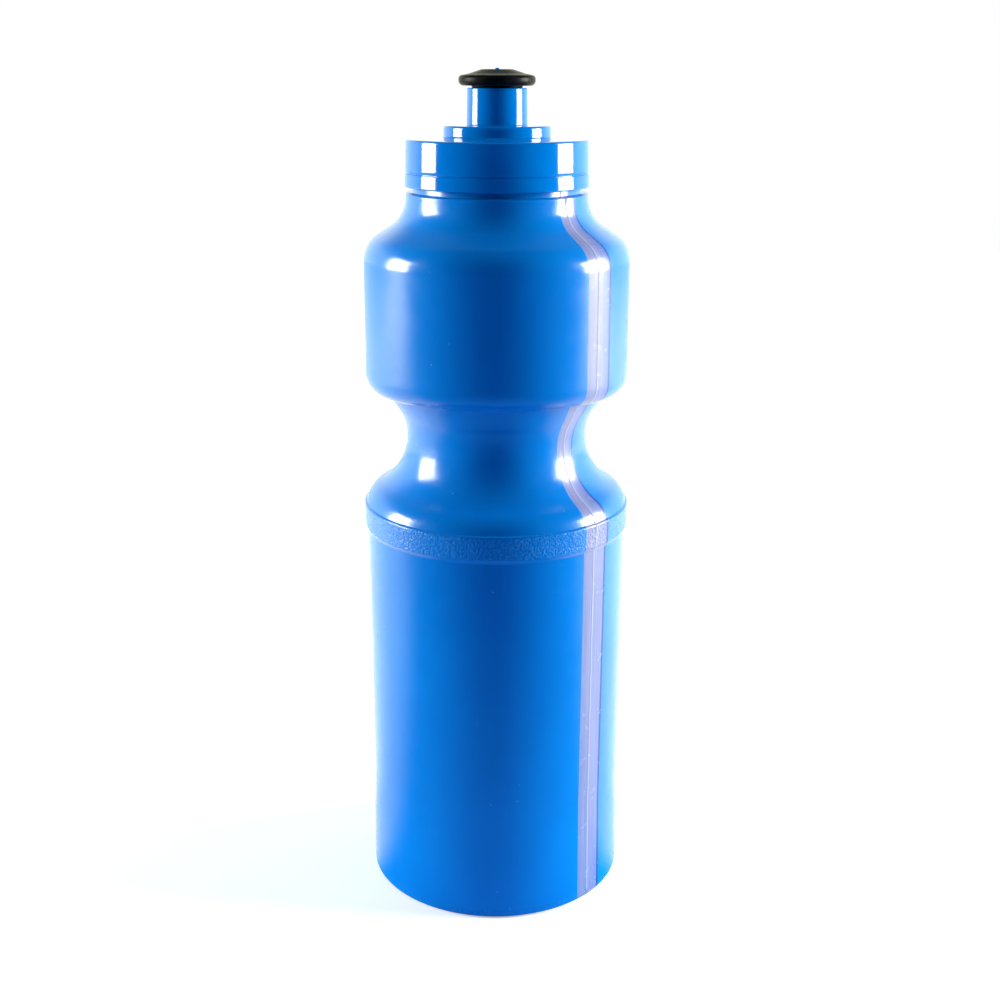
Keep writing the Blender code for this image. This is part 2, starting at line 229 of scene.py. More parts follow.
# ------------------------------------------------------------------ material building blocks
class Nodes:
    """A short way to write a node tree."""

    def __init__(self, name):
        self.mat = bpy.data.materials.new(name)
        self.mat.use_nodes = True
        self.tree = self.mat.node_tree
        self.shader = self.tree.nodes["Principled BSDF"]

    def add(self, kind, **props):
        node = self.tree.nodes.new(kind)
        for key, value in props.items():
            setattr(node, key, value)
        return node

    def link(self, a, b):
        self.tree.links.new(a, b)

    def put(self, node, values):
        for key, value in values.items():
            socket = node.inputs[key]
            if hasattr(value, "is_linked") or isinstance(value, bpy.types.NodeSocket):
                self.link(value, socket)
            else:
                socket.default_value = value
        return node

    def math(self, op, a, b=None, c=None, clamp=False):
        node = self.add("ShaderNodeMath", operation=op, use_clamp=clamp)
        for i, v in enumerate((a, b, c)):
            if v is None:
                continue
            if isinstance(v, bpy.types.NodeSocket):
                self.link(v, node.inputs[i])
            else:
                node.inputs[i].default_value = v
        return node.outputs[0]

    def vector(self, op, a, b=None):
        node = self.add("ShaderNodeVectorMath", operation=op)
        for i, v in enumerate((a, b)):
            if v is None:
                continue
            if isinstance(v, bpy.types.NodeSocket):
                self.link(v, node.inputs[i])
            else:
                node.inputs[i].default_value = v
        return node.outputs[0]

    def ramp(self, value, lo, hi, out_lo=0.0, out_hi=1.0, kind="SMOOTHSTEP"):
        node = self.add("ShaderNodeMapRange", interpolation_type=kind, clamp=True)
        self.put(node, {"Value": value, "From Min": lo, "From Max": hi, "To Min": out_lo, "To Max": out_hi})
        return node.outputs["Result"]

    def mix_colour(self, factor, a, b):
        node = self.add("ShaderNodeMix", data_type="RGBA", blend_type="MIX")
        for socket, value in ((node.inputs[0], factor), (node.inputs[6], a), (node.inputs[7], b)):
            if isinstance(value, bpy.types.NodeSocket):
                self.link(value, socket)
            else:
                socket.default_value = value
        return node.outputs[2]

    def noise(self, vector, scale, detail=2.0, roughness=0.5, distortion=0.0):
        node = self.add("ShaderNodeTexNoise")
        self.put(node, {"Vector": vector, "Scale": scale, "Detail": detail, "Roughness": roughness,
                        "Distortion": distortion})
        return node.outputs["Fac"]

    def voronoi(self, vector, scale, feature="F1", randomness=1.0):
        node = self.add("ShaderNodeTexVoronoi", feature=feature)
        self.put(node, {"Vector": vector, "Scale": scale, "Randomness": randomness})
        return node.outputs["Distance"]

    def bump(self, height, distance, strength=1.0, normal=None):
        node = self.add("ShaderNodeBump")
        self.put(node, {"Height": height, "Distance": distance, "Strength": strength})
        if normal is not None:
            self.link(normal, node.inputs["Normal"])
        return node.outputs["Normal"]


def frame_coords(n):
    """Object coordinates split up, plus the azimuth."""
    coords = n.add("ShaderNodeTexCoord").outputs["Object"]
    split = n.add("ShaderNodeSeparateXYZ")
    n.link(coords, split.inputs[0])
    x, y, z = split.outputs
    back = n.math("MULTIPLY", y, -1.0)
    azimuth = n.math("ARCTAN2", x, back)
    return coords, x, y, z, azimuth


def scratches(n, coords, scale, stretch, tilt, width):
    """Thin, sparse hairline scratches: 1 on a scratch, 0 elsewhere."""
    mapping = n.add("ShaderNodeMapping")
    n.put(mapping, {"Vector": coords, "Rotation": tilt, "Scale": stretch})
    warped = n.noise(mapping.outputs[0], scale, detail=1.0, roughness=0.4)
    near = n.math("ABSOLUTE", n.math("SUBTRACT", warped, 0.5))
    return n.ramp(near, 0.0, width, 1.0, 0.0)


# azimuths of the clear stripe and of the parting line, from the front towards the right
SEAM = radians(46.6)
STRIPE_LEFT = radians(40.6)
STRIPE_RIGHT = radians(55.2)


def bottle_surface(n, base_rough):
    """Roughness and normal shared by the blue wall and the clear stripe."""
    coords, x, y, z, azimuth = frame_coords(n)
    radius = 0.036
    along = n.math("MULTIPLY", azimuth, radius)
    flat = n.add("ShaderNodeCombineXYZ")
    n.put(flat, {"X": along, "Y": z, "Z": 0.0})

    # grain of the grip ring
    z_mm = n.math("MULTIPLY", z, 1000.0)
    ring = n.math("MULTIPLY", n.ramp(z_mm, 106.85, 107.2), n.ramp(z_mm, 112.9, 113.2, 1.0, 0.0))
    grain_a = n.noise(coords, 1250.0, detail=3.0, roughness=0.60)
    grain_b = n.voronoi(coords, 1700.0)
    grain = n.math("ADD", n.math("MULTIPLY", grain_a, 0.75), n.math("MULTIPLY", grain_b, 0.5))

    # soft unevenness of a blown wall, and fine use marks
    uneven = n.noise(coords, 55.0, detail=2.0, roughness=0.45)
    fine = n.noise(coords, 900.0, detail=2.0, roughness=0.55)
    long_marks = scratches(n, flat.outputs[0], 60.0, (1.0, 0.05, 1.0), (0.0, 0.0, 0.25), 0.004)
    cross_marks = scratches(n, flat.outputs[0], 60.0, (0.07, 1.0, 1.0), (0.0, 0.0, -0.25), 0.004)
    patch = n.ramp(n.noise(coords, 34.0, detail=2.0), 0.60, 0.72)
    marks = n.math("MULTIPLY", n.math("MAXIMUM", long_marks, cross_marks), patch)

    rough = n.ramp(n.noise(coords, 190.0, detail=4.0, roughness=0.65), 0.35, 0.70, base_rough - 0.03, base_rough + 0.05,
                   "LINEAR")
    rough = n.math("ADD", rough, n.math("MULTIPLY", marks, 0.04))
    # rubbed zones: the stand rim and the ring's lip
    rub = n.math("MAXIMUM", n.ramp(z_mm, 1.0, 5.0, 1.0, 0.0), n.ramp(n.math("ABSOLUTE", n.math("SUBTRACT", z_mm, 113.2)), 0.1, 0.9, 1.0, 0.0))
    rub = n.math("MULTIPLY", rub, n.ramp(n.noise(coords, 900.0, detail=4.0), 0.50, 0.80))
    rough = n.math("ADD", rough, n.math("MULTIPLY", rub, 0.14))
    rough = n.math("ADD", rough, n.math("MULTIPLY", ring, 0.03), clamp=True)

    normal = n.bump(uneven, 0.00022, 0.55)
    normal = n.bump(fine, 0.0000045, 0.7, normal)
    normal = n.bump(n.math("MULTIPLY", grain, ring), 0.00020, 1.0, normal)
    # lighter colour on the ring's grain peaks: partly the frosted grain's own paler tone, partly painted glints
    frost_and_glints = n.math("MULTIPLY", ring, n.ramp(grain, 0.56, 0.76))
    return coords, x, y, z, z_mm, azimuth, flat.outputs[0], marks, rub, frost_and_glints, rough, normal


def blue_bottle_material():
    n = Nodes("bottle_blue_blown")
    coords, x, y, z, z_mm, azimuth, flat, marks, rub, frost_and_glints, rough, normal = bottle_surface(n, 0.20)
    deep = (0.000, 0.174, 0.608, 1.0)
    light = (0.000, 0.192, 0.645, 1.0)
    cloud = n.ramp(n.noise(coords, 26.0, detail=3.0, roughness=0.5), 0.36, 0.64)
    colour = n.mix_colour(cloud, deep, light)
    # thinner, lighter plastic on the blown-out corners
    thin = n.math("MAXIMUM",
                  n.ramp(n.math("ABSOLUTE", n.math("SUBTRACT", z_mm, 146.5)), 0.4, 3.2, 1.0, 0.0),
                  n.ramp(z_mm, 0.6, 4.0, 1.0, 0.0))
    colour = n.mix_colour(n.math("MULTIPLY", thin, 0.35), colour, (0.010, 0.200, 0.640, 1.0))
    # specks in the plastic and pale rub marks
    cells = n.voronoi(coords, 300.0)
    speck = n.math("MULTIPLY", n.ramp(cells, 0.045, 0.075, 1.0, 0.0), n.ramp(n.noise(coords, 45.0), 0.54, 0.60))
    colour = n.mix_colour(n.math("MULTIPLY", speck, 0.40), colour, (0.35, 0.55, 0.85, 1.0))
    colour = n.mix_colour(n.math("MULTIPLY", marks, 0.05), colour, (0.06, 0.26, 0.74, 1.0))
    colour = n.mix_colour(n.math("MULTIPLY", rub, 0.08), colour, (0.05, 0.26, 0.74, 1.0))
    # the ring's grain peaks lightened: frosted grain plus painted glints
    colour = n.mix_colour(n.math("MULTIPLY", frost_and_glints, 0.22), colour, (0.12, 0.34, 0.72, 1.0))
    n.link(colour, n.shader.inputs["Base Color"])
    n.link(rough, n.shader.inputs["Roughness"])
    n.link(normal, n.shader.inputs["Normal"])
    n.shader.inputs["IOR"].default_value = 1.51
    n.shader.inputs["Specular IOR Level"].default_value = 0.5
    return n.mat


def stripe_material():
    """Milky uncoloured stripe that shows the filling level, with drawn-out flow lines."""
    n = Nodes("bottle_clear_stripe")
    coords, x, y, z, z_mm, azimuth, flat, marks, rub, frost_and_glints, rough, normal = bottle_surface(n, 0.24)
    # flow lines run up the bottle: fine across, long along
    mapping = n.add("ShaderNodeMapping")
    n.put(mapping, {"Vector": flat, "Scale": (1.0, 0.012, 1.0)})
    lines = n.noise(mapping.outputs[0], 2600.0, detail=2.0, roughness=0.55)
    broad = n.noise(mapping.outputs[0], 330.0, detail=1.0, roughness=0.5)
    milky = (0.200, 0.218, 0.420, 1.0)
    pale = (0.255, 0.272, 0.480, 1.0)
    colour = n.mix_colour(n.ramp(lines, 0.40, 0.66), milky, pale)
    colour = n.mix_colour(n.math("MULTIPLY", n.ramp(broad, 0.45, 0.65), 0.25), colour, (0.155, 0.185, 0.480, 1.0))
    # the milky part thins out into the blue past the parting line, most of all on the bulb
    past = n.ramp(azimuth, SEAM, STRIPE_RIGHT)
    high = n.ramp(z_mm, 112.0, 125.0, 0.35, 0.85)
    colour = n.mix_colour(n.math("MULTIPLY", past, high), colour, (0.060, 0.150, 0.500, 1.0))
    # painted highlight: a pale line along the raised parting-line ridge
    seam_highlight = n.ramp(n.math("ABSOLUTE", n.math("SUBTRACT", azimuth, SEAM)), 0.0025, 0.0070, 1.0, 0.0)
    colour = n.mix_colour(n.math("MULTIPLY", seam_highlight, 0.55), colour, (0.52, 0.56, 0.86, 1.0))
    # the wall's blue edge seen through the stripe's right side, and a faint one on the left
    right = n.math("SUBTRACT", STRIPE_RIGHT, azimuth)
    edge = n.ramp(right, 0.012, 0.030, 1.0, 0.0)
    colour = n.mix_colour(edge, colour, (0.008, 0.045, 0.270, 1.0))
    left = n.math("SUBTRACT", azimuth, STRIPE_LEFT)
    colour = n.mix_colour(n.math("MULTIPLY", n.ramp(left, 0.0, 0.022, 1.0, 0.0), 0.35), colour, (0.13, 0.33, 0.80, 1.0))
    n.link(colour, n.shader.inputs["Base Color"])
    n.link(rough, n.shader.inputs["Roughness"])
    n.link(n.bump(lines, 0.000012, 0.6, normal), n.shader.inputs["Normal"])
    n.shader.inputs["IOR"].default_value = 1.51
    n.shader.inputs["Subsurface Weight"].default_value = 0.12
    n.shader.inputs["Subsurface Radius"].default_value = (1.0, 1.0, 1.0)
    n.shader.inputs["Subsurface Scale"].default_value = 0.0012
    return n.mat


def cap_material():
    n = Nodes("cap_blue_gloss")
    coords, x, y, z, azimuth = frame_coords(n)
    cloud = n.ramp(n.noise(coords, 60.0, detail=3.0), 0.35, 0.65)
    colour = n.mix_colour(cloud, (0.000, 0.166, 0.575, 1.0), (0.000, 0.182, 0.612, 1.0))
    fine = n.noise(coords, 1300.0, detail=2.0, roughness=0.5)
    peel = n.noise(coords, 120.0, detail=2.0, roughness=0.5)
    hair = scratches(n, coords, 170.0, (1.0, 1.0, 0.12), (0.2, 0.1, 0.0), 0.0035)
    patch = n.ramp(n.noise(coords, 75.0, detail=2.0), 0.54, 0.66)
    marks = n.math("MULTIPLY", hair, patch)
    rough = n.ramp(n.noise(coords, 300.0, detail=4.0, roughness=0.65), 0.35, 0.7, 0.055, 0.105, "LINEAR")
    rough = n.math("ADD", rough, n.math("MULTIPLY", marks, 0.12))
    colour = n.mix_colour(n.math("MULTIPLY", marks, 0.10), colour, (0.15, 0.38, 0.82, 1.0))
    n.link(colour, n.shader.inputs["Base Color"])
    n.link(rough, n.shader.inputs["Roughness"])
    normal = n.bump(peel, 0.00005, 0.45)
    normal = n.bump(fine, 0.0000020, 0.6, normal)
    normal = n.bump(marks, 0.000006, 0.7, normal)
    n.link(normal, n.shader.inputs["Normal"])
    n.shader.inputs["IOR"].default_value = 1.50
    return n.mat


def nozzle_material():
    n = Nodes("nozzle_black_soft")
    coords, x, y, z, azimuth = frame_coords(n)
    cloud = n.ramp(n.noise(coords, 150.0, detail=4.0, roughness=0.6), 0.35, 0.68)
    colour = n.mix_colour(cloud, (0.0030, 0.0030, 0.0034, 1.0), (0.0075, 0.0070, 0.0070, 1.0))
    dust = n.math("MULTIPLY", n.ramp(n.voronoi(coords, 900.0), 0.06, 0.10, 1.0, 0.0), n.ramp(n.noise(coords, 200.0), 0.56, 0.62))
    colour = n.mix_colour(n.math("MULTIPLY", dust, 0.25), colour, (0.12, 0.12, 0.13, 1.0))
    rough = n.ramp(n.noise(coords, 600.0, detail=4.0, roughness=0.65), 0.33, 0.70, 0.30, 0.40, "LINEAR")
    n.link(colour, n.shader.inputs["Base Color"])
    n.link(rough, n.shader.inputs["Roughness"])
    normal = n.bump(n.noise(coords, 2600.0, detail=3.0, roughness=0.6), 0.000012, 0.6)
    normal = n.bump(n.noise(coords, 260.0, detail=2.0), 0.00004, 0.4, normal)
    n.link(normal, n.shader.inputs["Normal"])
    n.shader.inputs["IOR"].default_value = 1.48
    n.shader.inputs["Specular IOR Level"].default_value = 0.06
    return n.mat


def gasket_material():
    n = Nodes("gasket_soft_grey")
    coords, x, y, z, azimuth = frame_coords(n)
    cloud = n.ramp(n.noise(coords, 220.0, detail=4.0), 0.35, 0.66)
    colour = n.mix_colour(cloud, (0.50, 0.51, 0.52, 1.0), (0.62, 0.63, 0.64, 1.0))
    rough = n.ramp(n.noise(coords, 700.0, detail=3.0), 0.35, 0.7, 0.48, 0.66, "LINEAR")
    n.link(colour, n.shader.inputs["Base Color"])
    n.link(rough, n.shader.inputs["Roughness"])
    n.link(n.bump(n.noise(coords, 1800.0, detail=3.0), 0.00001, 0.6), n.shader.inputs["Normal"])
    return n.mat


# ------------------------------------------------------------------ bottle
WALL = 1.0
BASE_RADIUS = 36.55
LEDGE_TOP = NECK_TOP - 10.4
NECK_RADIUS = 22.20
NECK_BORE = 20.40
RING_TOP = 113.3
WAIST_RADIUS = 24.95
CREASE_Z = 144.9
THREAD_LEAD = 4.0
THREAD_TURNS = 1.25
THREAD_START = radians(100)
THREAD_RUN_OUT = radians(24)
NECK_THREAD_START = CAP_BOTTOM + 2.4
NECK_THREAD_CREST = 23.0
CAP_THREAD_CREST = 22.55
CAP_INNER = 23.30
THREAD_OFFSET = 1.45


def outer_corners():
    return [
        (0.0, 3.4, 0.0),
        (22.0, 3.0, 2.5),
        (28.0, 0.0, 1.6),
        (BASE_RADIUS, 0.0, 1.0),
        (BASE_RADIUS - 0.05, 5.0, 20.0),
        (36.08, 30.0, 120.0),
        (36.21, 105.8, 0.9),
        (RING_RADIUS - 0.06, 107.0, 0.10),
        (RING_RADIUS, RING_TOP, 0.16),
        (RING_RADIUS - 0.55, RING_TOP + 0.32, 0.10),
        (35.36, 116.67, 7.4),
        (WAIST_RADIUS, 123.05, 15.8),
        (WAIST_RADIUS, 135.8, 13.4),
        (30.0, CREASE_Z, 0.45),
        (36.05, CREASE_Z, 5.65),
        (35.73, 184.42, 8.0),
        (24.30, 191.8, 9.2),
        (24.30, LEDGE_TOP, 0.45),
        (22.45, LEDGE_TOP, 0.25),
        (22.45, LEDGE_TOP + 1.4, 0.2),
        (NECK_RADIUS, LEDGE_TOP + 1.7, 0.15),
        (NECK_RADIUS, NECK_TOP, 0.45),
        (NECK_BORE, NECK_TOP, 0.35),
        (NECK_BORE, NECK_TOP - 1.5, 0.0),
    ]


def thread_height(azimuth, z, start_z, half_root, half_crest):
    """Share of the ridge's height, 0 to 1, at a point on a right-hand helix.  Azimuth grows counter-clockwise from above."""
    turn0 = (azimuth - THREAD_START) % (2 * pi)
    best = 0.0
    total = 2 * pi * THREAD_TURNS
    for k in range(0, 2):
        turn = turn0 + 2 * pi * k
        if turn > total:
            continue
        grow = min(1.0, min(turn, total - turn) / THREAD_RUN_OUT)
        centre = start_z + THREAD_LEAD * turn / (2 * pi)
        d = abs(z - centre)
        share = 1.0 if d <= half_crest else max(0.0, (half_root - d) / (half_root - half_crest))
        best = max(best, min(share, grow))
    return best


def make_bottle():
    def gap(r, z):
        if z > LEDGE_TOP + 1.5:
            return 0.22
        if 105.0 < z < 114.5:
            return 0.6
        return 1.6

    outer = even(fillet_path(outer_corners(), step=0.34, cap_steps=30), gap)
    skin = [c for c in outer_corners()[:18]]
    skin[6:10] = [(36.20, 104.3, 2.0), (RING_RADIUS - 0.55, RING_TOP, 2.0)]
    inner = fillet_path(offset_corners(skin[:-1] + [(24.30, LEDGE_TOP - 2.0, 0.0)], WALL), step=0.9, cap_steps=8)
    inner[0] = (0.0, 3.4 + WALL)
    inner = even(inner, 6.0) + [(NECK_BORE, LEDGE_TOP + 0.6)]
    rows = outer + list(reversed(inner))
    n_outer = len(outer)

    seam_cols = [radians(d) for d in (-0.9, -0.45, -0.22, 0.0, 0.22, 0.45, 0.9)]
    thetas = columns(360, [(SEAM, seam_cols), (SEAM - pi, seam_cols), (STRIPE_LEFT, [0.0]), (STRIPE_RIGHT, [0.0])])

    seam_dir = (cos(SEAM), sin(SEAM))       # across the parting plane, in the (x, y) of the base

    def shape(i, a, r, z):
        if i >= n_outer:
            return a, r, z
        x, y = r * sin(a), -r * cos(a)
        rr, zz = r, z
        # the bulb's underside is a little higher front and back than at its sides
        w = smooth_step(z, 139.0, 144.0) * (1.0 - smooth_step(z, 148.0, 156.0))
        zz += w * 0.75 * cos(2 * a)
        # slow unevenness of the blown wall
        if 4.0 < z < 192.0:
            v = noise.noise(Vector((x * 0.045, y * 0.045, z * 0.022)))
            v += 0.5 * noise.noise(Vector((x * 0.11 + 7.0, y * 0.11, z * 0.05)))
            fade = smooth_step(z, 4.0, 14.0) * (1.0 - smooth_step(z, 180.0, 192.0))
            rr += 0.07 * v * fade
        # parting line: a fine raised line each side, with flash at the rim, the ring and the ledge
        for centre in (SEAM, SEAM - pi):
            d = ((a - centre + pi) % (2 * pi) - pi) * max(r, 5.0)
            if abs(d) < 1.2 and z < NECK_TOP - 0.6 and i < n_outer:
                height = 0.085
                height += 0.10 * exp(-((z - (LEDGE_TOP - 0.4)) / 0.5) ** 2)
                height += 0.16 * exp(-((z - 1.3) / 1.0) ** 2)
                height += 0.05 * exp(-((z - RING_TOP) / 0.6) ** 2)
                ridge = height * exp(-(d / 0.17) ** 2)
                if z < 0.8 and r < 35.5:
                    ridge = 0.0
                rr += ridge
        # pinch-off scar across the pushed-up base
        if z < 3.6 and r < 27.5:
            across = x * seam_dir[0] + y * seam_dir[1]
            scar = exp(-(across / 0.55) ** 2) * (1.0 - smooth_step(r, 20.0, 26.0))
            zz -= 0.55 * scar
            zz += 0.25 * exp(-((abs(across) - 1.5) / 0.6) ** 2) * (1.0 - smooth_step(r, 16.0, 24.0))
        # thread on the neck
        if z > LEDGE_TOP + 1.6 and r > NECK_RADIUS - 0.6:
            share = thread_height(a, z, NECK_THREAD_START, 0.9, 0.45)
            if share > 0.0:
                rr = max(rr, NECK_RADIUS + (NECK_THREAD_CREST - NECK_RADIUS) * share)
        return a, rr, zz

    def material_of(row, a):
        return 1 if STRIPE_LEFT < a < STRIPE_RIGHT and rows[row][0] > 24.0 else (
            1 if STRIPE_LEFT < a < STRIPE_RIGHT and rows[row][1] > 100.0 else 0)

    bottle = revolve("bottle_shell", rows, thetas, False, shape, material_of)
    bottle.data.materials.append(blue_bottle_material())
    bottle.data.materials.append(stripe_material())
    bottle.data.set_sharp_from_angle(angle=radians(38))
    return bottle


# ------------------------------------------------------------------ cap
RIM_TOP = CAP_BOTTOM + 12.15
DISC_TOP = CAP_BOTTOM + 15.60
TUBE_TOP = CAP_BOTTOM + 25.00
ROOF = CAP_BOTTOM + 10.50
TUBE_BORE = 7.25


def make_cap():
    groove_z = CAP_BOTTOM + 3.7
    groove_r = CAP_RADIUS_LOW - 0.14
    lip = TUBE_TOP - 1.25
    corners = [
        (CAP_RADIUS_LOW, CAP_BOTTOM, 0.35),
        (groove_r, groove_z - 0.25, 0.07),
        (groove_r - 0.30, groove_z - 0.12, 0.06),
        (groove_r - 0.30, groove_z + 0.12, 0.06),
        (groove_r - 0.06, groove_z + 0.25, 0.07),
        (24.25, RIM_TOP, 0.65),
        (14.25, CAP_BOTTOM + 12.80, 0.25),
        (14.20, DISC_TOP, 0.75),
        (8.08, DISC_TOP + 0.15, 0.20),
        (7.95, TUBE_TOP, 0.38),
        (6.75, TUBE_TOP, 0.25),
        (6.75, lip, 0.12),
        (TUBE_BORE, lip - 0.3, 0.12),
        (TUBE_BORE, CAP_BOTTOM + 11.7, 0.12),
        (8.5, CAP_BOTTOM + 11.7, 0.12),
        (8.5, CAP_BOTTOM + 14.1, 0.4),
        (12.8, CAP_BOTTOM + 14.1, 0.5),
        (12.8, ROOF, 0.4),
        (18.7, ROOF, 0.4),
        (18.7, CAP_BOTTOM + 7.3, 0.2),
        (19.5, CAP_BOTTOM + 7.3, 0.2),
        (19.8, CAP_BOTTOM + 8.1, 0.3),
        (19.8, ROOF, 0.3),
        (CAP_INNER, ROOF, 0.35),
        (CAP_INNER, CAP_BOTTOM, 0.15),
    ]

    def gap(r, z):
        if abs(r - CAP_INNER) < 0.4 and z < ROOF:
            return 0.22
        return 1.5

    rows = even(fillet_path(corners, close=True, step=0.10, cap_steps=14), gap, close=True)

    def shape(i, a, r, z):
        if abs(r - CAP_INNER) < 0.05 and z < ROOF - 0.4:
            share = thread_height(a, z, NECK_THREAD_START - THREAD_OFFSET, 0.8, 0.4)
            if share > 0.0:
                return a, min(r, CAP_INNER - (CAP_INNER - CAP_THREAD_CREST) * share), z
        return a, r, z

    cap = revolve("screw_cap_shell", rows, columns(240), True, shape)
    cap.data.materials.append(cap_material())
    cap.data.set_sharp_from_angle(angle=radians(50))
    return cap


def make_pin():
    """Valve pin on three spokes, one piece, whose spoke ends are buried in the spout tube."""
    z = CAP_BOTTOM
    corners = [
        (0.0, z + 11.1, 0.0),
        (2.0, z + 11.1, 0.3),
        (2.6, z + 11.9, 0.4),
        (2.6, z + 14.0, 0.8),
        (2.2, z + 17.4, 2.0),
        (2.2, PIN_TOP - 1.6, 0.8),
        (1.45, PIN_TOP - 0.85, 0.5),
        (0.62, PIN_TOP - 0.42, 0.3),
        (0.45, PIN_TOP - 0.08, 0.25),
        (0.0, PIN_TOP, 0.0),
    ]
    pin = revolve("cap_valve_pin", even(fillet_path(corners, step=0.15, cap_steps=10), 1.0), columns(64), False)
    for k in range(3):
        angle = 2 * pi * k / 3 + radians(30)
        bm = bmesh.new()
        bmesh.ops.create_cube(bm, size=1.0)
        low, high = 1.4, TUBE_BORE + 0.45
        bottom, top = z + 11.85, z + 13.4
        bmesh.ops.scale(bm, vec=Vector(((high - low) * MM, 1.6 * MM, (top - bottom) * MM)), verts=bm.verts[:])
        bmesh.ops.translate(bm, vec=Vector(((high + low) / 2 * MM, 0, (top + bottom) / 2 * MM)), verts=bm.verts[:])
        bmesh.ops.rotate(bm, cent=Vector(), matrix=Matrix.Rotation(angle, 3, 'Z'), verts=bm.verts[:])
        bmesh.ops.bevel(bm, geom=bm.edges[:], offset=0.2 * MM, segments=2, affect='EDGES', profile=0.5)
        bmesh.ops.recalc_face_normals(bm, faces=bm.faces[:])
        mesh = bpy.data.meshes.new("spoke")
        bm.to_mesh(mesh)
        bm.free()
        spoke = bpy.data.objects.new("spoke_form_%d" % k, mesh)
        bpy.context.scene.collection.objects.link(spoke)
        mod = pin.modifiers.new("join_%d" % k, 'BOOLEAN')
        mod.operation, mod.solver, mod.object = 'UNION', 'EXACT', spoke
    apply_modifiers(pin)
    for o in [o for o in bpy.data.objects if o.name.startswith("spoke_form_")]:
        bpy.data.objects.remove(o, do_unlink=True)
    pin.data.materials.clear()
    pin.data.materials.append(bpy.data.materials["cap_blue_gloss"])
    pin.data.shade_smooth()
    pin.data.set_sharp_from_angle(angle=radians(40))
    return pin


# ------------------------------------------------------------------ nozzle and gasket
def make_nozzle():
    top = HEAD_TOP
    corners = [
        (4.9, STEM_BOTTOM, 0.25),
        (6.4, STEM_BOTTOM, 0.3),
        (6.4, STEM_BOTTOM + 1.0, 0.2),
        (6.95, STEM_BOTTOM + 1.4, 0.25),
        (6.95, STEM_BOTTOM + 2.0, 0.25),
        (6.4, STEM_BOTTOM + 2.4, 0.2),
        (6.4, top - 4.60, 0.2),
        (6.65, top - 4.50, 0.15),
        (6.65, top - 4.10, 0.22),
        (HEAD_RADIUS, top - 4.10, 1.30),
        (HEAD_RADIUS, top - 1.62, 1.0),
        (7.3, top - 1.05, 3.2),
        (4.05, top, 0.55),
        (2.6, top, 0.35),
        (2.6, top - 2.0, 0.3),
        (4.9, top - 3.4, 0.4),
    ]
    rows = even(fillet_path(corners, close=True, step=0.10, cap_steps=18), 0.9, close=True)

    def shape(i, a, r, z):
        # soft moulding: very slightly out of true at the head's rim
        if r > 8.0:
            r += 0.05 * sin(3 * a + 0.7) * smooth_step(r, 8.0, 10.0)
        return a, r, z

    nozzle = revolve("nozzle_soft", rows, columns(160), True, shape)
    nozzle.data.materials.append(nozzle_material())
    nozzle.data.set_sharp_from_angle(angle=radians(55))
    return nozzle


def make_gasket():
    lo, hi = gasket_lo.z / MM, gasket_hi.z / MM
    outer = (gasket_hi.x - gasket_lo.x) / 2 / MM
    inner = 20.2
    mid = (inner + outer) / 2
    corners = [
        (inner, lo, 0.25), (mid - 0.45, lo, 0.1), (mid - 0.3, lo + 0.18, 0.1), (mid + 0.3, lo + 0.18, 0.1), (mid + 0.45, lo, 0.1),
        (outer, lo, 0.25), (outer, hi, 0.25), (inner, hi, 0.25),
    ]
    gasket = revolve("gasket_ring", fillet_path(corners, close=True, step=0.08, cap_steps=6), columns(180), True)
    gasket.data.materials.append(gasket_material())
    gasket.data.set_sharp_from_angle(angle=radians(50))
    return gasket


bottle = make_bottle()
cap = make_cap()
pin = make_pin()
nozzle = make_nozzle()
gasket = make_gasket()

for piece, body, node, slot in (
    (bottle, "bottle", "bottle_body", "bottle_plastic"),
    (cap, "cap", "screw_cap", "cap_plastic"),
    (pin, "cap", None, "cap_plastic"),
    (nozzle, "nozzle", "push_pull_nozzle", "nozzle_rubber"),
    (gasket, "gasket", "cap_gasket", "gasket_rubber"),
):
    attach(piece, body)
    if node:
        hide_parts(node)

# ------------------------------------------------------------------ stage
scene = bpy.context.scene
scene.view_settings.view_transform = 'Standard'
scene.view_settings.look = 'None'
scene.view_settings.exposure = 0.0
scene.view_settings.gamma = 1.0

floor_mesh = bpy.data.meshes.new("studio_floor")
half = 1.5
floor_mesh.from_pydata([(-half, -half, 0), (half, -half, 0), (half, half, 0), (-half, half, 0)], [], [(0, 1, 2, 3)])
floor = bpy.data.objects.new("studio_floor", floor_mesh)
floor.location.z = Z0 * MM - 0.0002
scene.collection.objects.link(floor)
fm = Nodes("floor_white")
fcoords = fm.add("ShaderNodeTexCoord").outputs["Object"]
faint = fm.ramp(fm.noise(fcoords, 9.0, detail=3.0), 0.3, 0.7)
fm.link(fm.mix_colour(faint, (0.86, 0.87, 0.90, 1.0), (0.90, 0.91, 0.93, 1.0)), fm.shader.inputs["Base Color"])
fm.shader.inputs["Roughness"].default_value = 0.6
fm.shader.inputs["Specular IOR Level"].default_value = 0.2
fm.shader.inputs["Emission Color"].default_value = (1.0, 0.97, 0.98, 1.0)
